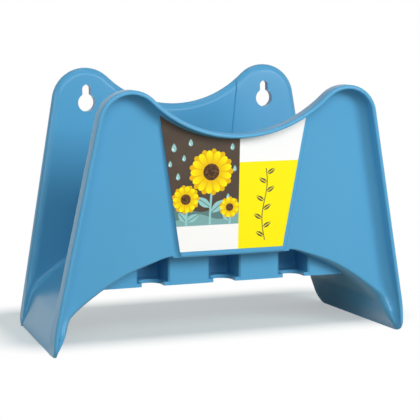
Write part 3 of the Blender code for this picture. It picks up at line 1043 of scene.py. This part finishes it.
def printed_picture(paint, ink):
    """Sunflowers, rain and hills on a dark ground."""
    c, mix = colours(), paint.mix
    deep_teal = tinted(c.teal, 0.36)
    gold = tuple(v * f for v, f in zip(c.yellow, (0.85, 0.55, 1.0)))
    picture = mix(paint.noise(ink.place, scale=60.0, detail=3.0), c.ground, tinted(c.ground, 2.2))
    for x, z, reach in RAIN:
        drop = ink.drop(x, z, reach)
        glint = ink.drop(x - reach * 0.12, z - reach * 0.16, reach * 0.36)
        picture = mix(glint, mix(drop, picture, c.teal), c.paper)
    for height, pace, lead, sway, tint in HILLS:
        hill = height * MM + (ink.x * pace + lead).sine() * (sway * MM) - ink.z
        picture = mix(ink.inside(hill), picture, tinted(c.teal, tint))
    for leaf in LEAVES:
        blade, rib = ink.leaf(*leaf)
        picture = mix(rib, mix(blade, picture, c.teal), deep_teal)
    for x, low, high in STEMS:
        across, up = ink.offset(x, low)
        stem = ink.inside(0.75 * MM - abs(across - up**2.0 * 2.0))
        picture = mix(stem * ink.inside(up) * ink.inside(high * MM - ink.z), picture, c.teal)
    for x, z, radius, petals in FLOWERS:
        back = ink.flower(x, z, radius, petals, 0.24)[0]
        front, out, ripple = ink.flower(x, z, radius * 0.93, petals)
        shade = ripple.step(0.25, 0.5) * out.step(0.62, 0.7)
        petal = mix(shade, gold, c.yellow)
        seeds = ink.inside(radius * 0.36 * MM - ink.away(x, z))
        grain = paint.node("ShaderNodeTexVoronoi", Vector=ink.place, Scale=900.0)
        dark = mix(grain.step(0.5, 0.5), (0.16, 0.075, 0.02), (0.05, 0.02, 0.008))
        picture = mix(seeds, mix(front, mix(back, picture, gold), petal), dark)
    return picture


def printed_film():
    """The label's print: a picture over a white strip, and a white and yellow column with a vine."""
    c = colours()
    paint = Paint("printed_film")
    ink = Print(paint)
    mix, sprig = paint.mix, tinted(c.ground, 2.0)
    column = mix(ink.beyond(ink.z, COLUMN_WHITE), c.yellow, c.paper)
    x, low, high, pace, sway, gap, leaves = VINE
    vine = ink.inside(0.3 * MM - abs(ink.x - x * MM - (ink.z * pace).sine() * (sway * MM)))
    column = mix(vine * ink.inside(ink.z - low * MM) * ink.inside(high * MM - ink.z), column, sprig)
    for i in range(leaves):
        z, side = low + 2.5 + gap * i, 1 if i % 2 else -1
        blade, rib = ink.leaf(x + sway * sin(z * MM * pace), z, 90 - 58 * side, 7.4, 2.9)
        column = mix(rib, mix(blade, column, sprig), c.yellow)
    left = mix(ink.beyond(ink.z, STRIP_TOP), c.paper, printed_picture(paint, ink))
    colour = mix(ink.beyond(ink.x, COLUMN_LEFT), left, column)
    return paint.finish(Base_Color=colour, Roughness=0.4, Specular_IOR_Level=0.22)


# The print in millimetres: the edges of its fields; drops (x, z, length); hills (height, waves, start,
# sway, tint); leaves (x, z, direction in degrees, length, width); stems (x, from, to); flowers (x, z,
# radius, petals); and the vine (x, from, to, waves, sway, from leaf to leaf, leaves)
COLUMN_LEFT, COLUMN_WHITE, STRIP_TOP = 2.7, 122.7, 81.7
RAIN = (
    (-43, 134, 6), (-36, 127, 4.6), (-45.5, 123.5, 4.6), (-31.5, 137, 5.2),
    (-2.5, 133.5, 5), (-5, 100.5, 4.4), (-0.6, 119, 4.4), (-40, 115, 5),
)
HILLS = ((94, 150, 1.9, 3.2, 0.36), (87.5, 190, 0.4, 2, 0.7))
STEMS = ((-17.5, 82, 112), (-34, 82, 96), (-3.5, 82, 92))
LEAVES = (
    (-17, 90, 38, 14, 6), (-17, 93.5, 145, 13, 5.4), (-34, 84.5, 130, 9, 4.4),
    (-33.5, 84.5, 30, 10, 4.6), (-3.5, 84, 130, 9, 4.2),
)
FLOWERS = ((-17, 117, 15.5, 13), (-34.5, 99.5, 9.6, 11), (-3.8, 93, 7.2, 9))
VINE = (21, 69.5, 118, 130, 1.6, 6, 8)

# Stage

TARGET = Vector((0.0, 0.0, 0.07))
LIGHT_DISTANCE = 1.4
SOFTBOX = 0.5
FLOOR = 8.0
SENSOR = 36.0
WHITE = (1.0, 1.0, 1.0, 1.0)
# Softboxes that look at the hanger: name, azimuth from the front to the right, elevation
LIGHTS = (("key", 5, 26), ("left", -22, 25), ("side", 30, 15), ("far", -75, 15), ("top", 0, 88))
# The part of the floor that shows the shadow: its middle's depth, its half sizes, its fading edge
SHADOW_DEPTH, SHADOW_HALF_X, SHADOW_HALF_Y = 0.05, 0.11, 0.035
SHADOW_EDGE, SHADOW_FADE = 0.025, 0.07


def floor_paint():
    """A white floor that shows the shadow under the hanger, and plain white further away."""
    look = bpy.context.scene.hanger_stage
    paint = Paint("studio_floor")
    _, x, y, _ = paint.place()
    aside = (abs(x) - SHADOW_HALF_X).most(0.0)
    beyond = (abs(y - SHADOW_DEPTH) - SHADOW_HALF_Y).most(0.0)
    far = (aside * aside + beyond * beyond).root().step(SHADOW_EDGE, SHADOW_FADE)
    camera, seen = paint.seen()
    share = seen * far.most(camera * look.floor_glow)
    glow = paint.node("ShaderNodeEmission", WHITE, 1.0)
    body = Value(paint, paint.shader.outputs[0])
    both = paint.node("ShaderNodeMixShader", share, body, glow)
    paint.put(paint.tree.nodes["Material Output"].inputs["Surface"], both)
    colour = paint.mix(seen, look.floor_bounce, look.floor_colour)
    return paint.finish(Base_Color=colour, Roughness=0.7, Specular_IOR_Level=0.2)


class HANGER_OT_stage(bpy.types.Operator):
    """Add the camera, the floor and soft studio light"""

    bl_idname = "hanger.stage"
    bl_label = "Stage"

    def execute(self, context):
        look = context.scene.hanger_stage
        floor = start(bpy.ops.mesh.primitive_plane_add, "studio_floor", size=FLOOR)
        floor.data.materials.append(floor_paint())
        self.sky(context, look)
        for name, azimuth, elevation in LIGHTS:
            power = getattr(look, name + "_power")
            self.light(name + "_light", radians(azimuth), radians(elevation), power)
        turns = (-look.camera_yaw, "Z"), (pi / 2 - look.camera_pitch, "X"), (look.camera_roll, "Z")
        yaw, pitch, roll = (Matrix.Rotation(turn, 4, axis) for turn, axis in turns)
        camera = start(bpy.ops.object.camera_add, "photo_camera")
        camera.matrix_world = Matrix.Translation(look.camera_place) @ yaw @ pitch @ roll
        camera.data.lens = look.camera_lens
        camera.data.sensor_width = SENSOR
        context.scene.camera = camera
        context.scene.view_settings.view_transform = "Standard"
        return {"FINISHED"}

    def sky(self, context, look):
        """A dim white sky that the camera, a mirror or glass sees as plain white."""
        world = context.scene.world = bpy.data.worlds.new("studio_sky")
        world.use_nodes = True
        nodes = Nodes(world.node_tree)
        dim = nodes.node("ShaderNodeBackground", WHITE, look.sky)
        bright = nodes.node("ShaderNodeBackground", WHITE, 1.0)
        both = nodes.node("ShaderNodeMixShader", nodes.seen()[1], dim, bright)
        nodes.put(nodes.tree.nodes["World Output"].inputs["Surface"], both)

    def light(self, name, azimuth, elevation, power):
        level = cos(elevation)
        away = Vector((sin(azimuth) * level, -cos(azimuth) * level, sin(elevation)))
        place = TARGET + away * LIGHT_DISTANCE
        light = start(bpy.ops.object.light_add, name, type="AREA", location=place)
        light.data.size = SOFTBOX
        light.data.energy = power
        light.rotation_euler = away.to_track_quat("Z", "Y").to_euler()


class HANGER_PT_tools(bpy.types.Panel):
    """Lists the hanger's pieces"""

    bl_label = "Wall Hose Hanger"
    bl_idname = "HANGER_PT_tools"
    bl_space_type = "VIEW_3D"
    bl_region_type = "UI"
    bl_category = "Hanger"

    def draw(self, context):
        for operator in OPERATORS:
            self.layout.operator(operator.bl_idname)
        for key, group in GROUPS.items():
            box = self.layout.box()
            for name in group.__annotations__:
                box.prop(getattr(context.scene, key), name)


OPERATORS = (HANGER_OT_moulding, HANGER_OT_label, HANGER_OT_stage)
GROUPS = {"hanger_sizes": HangerSizes, "hanger_colours": MouldingColours, "hanger_stage": StageLook}


def register():
    for made in (*GROUPS.values(), *OPERATORS, HANGER_PT_tools):
        bpy.utils.register_class(made)
    for name, group in GROUPS.items():
        setattr(bpy.types.Scene, name, PointerProperty(type=group))


def unregister():
    for name in GROUPS:
        delattr(bpy.types.Scene, name)
    for made in (HANGER_PT_tools, *OPERATORS, *GROUPS.values()):
        bpy.utils.unregister_class(made)


def main():
    register()
    bpy.ops.hanger.moulding()
    bpy.ops.hanger.label()
    bpy.ops.hanger.stage()


if __name__ == "__main__":
    main()
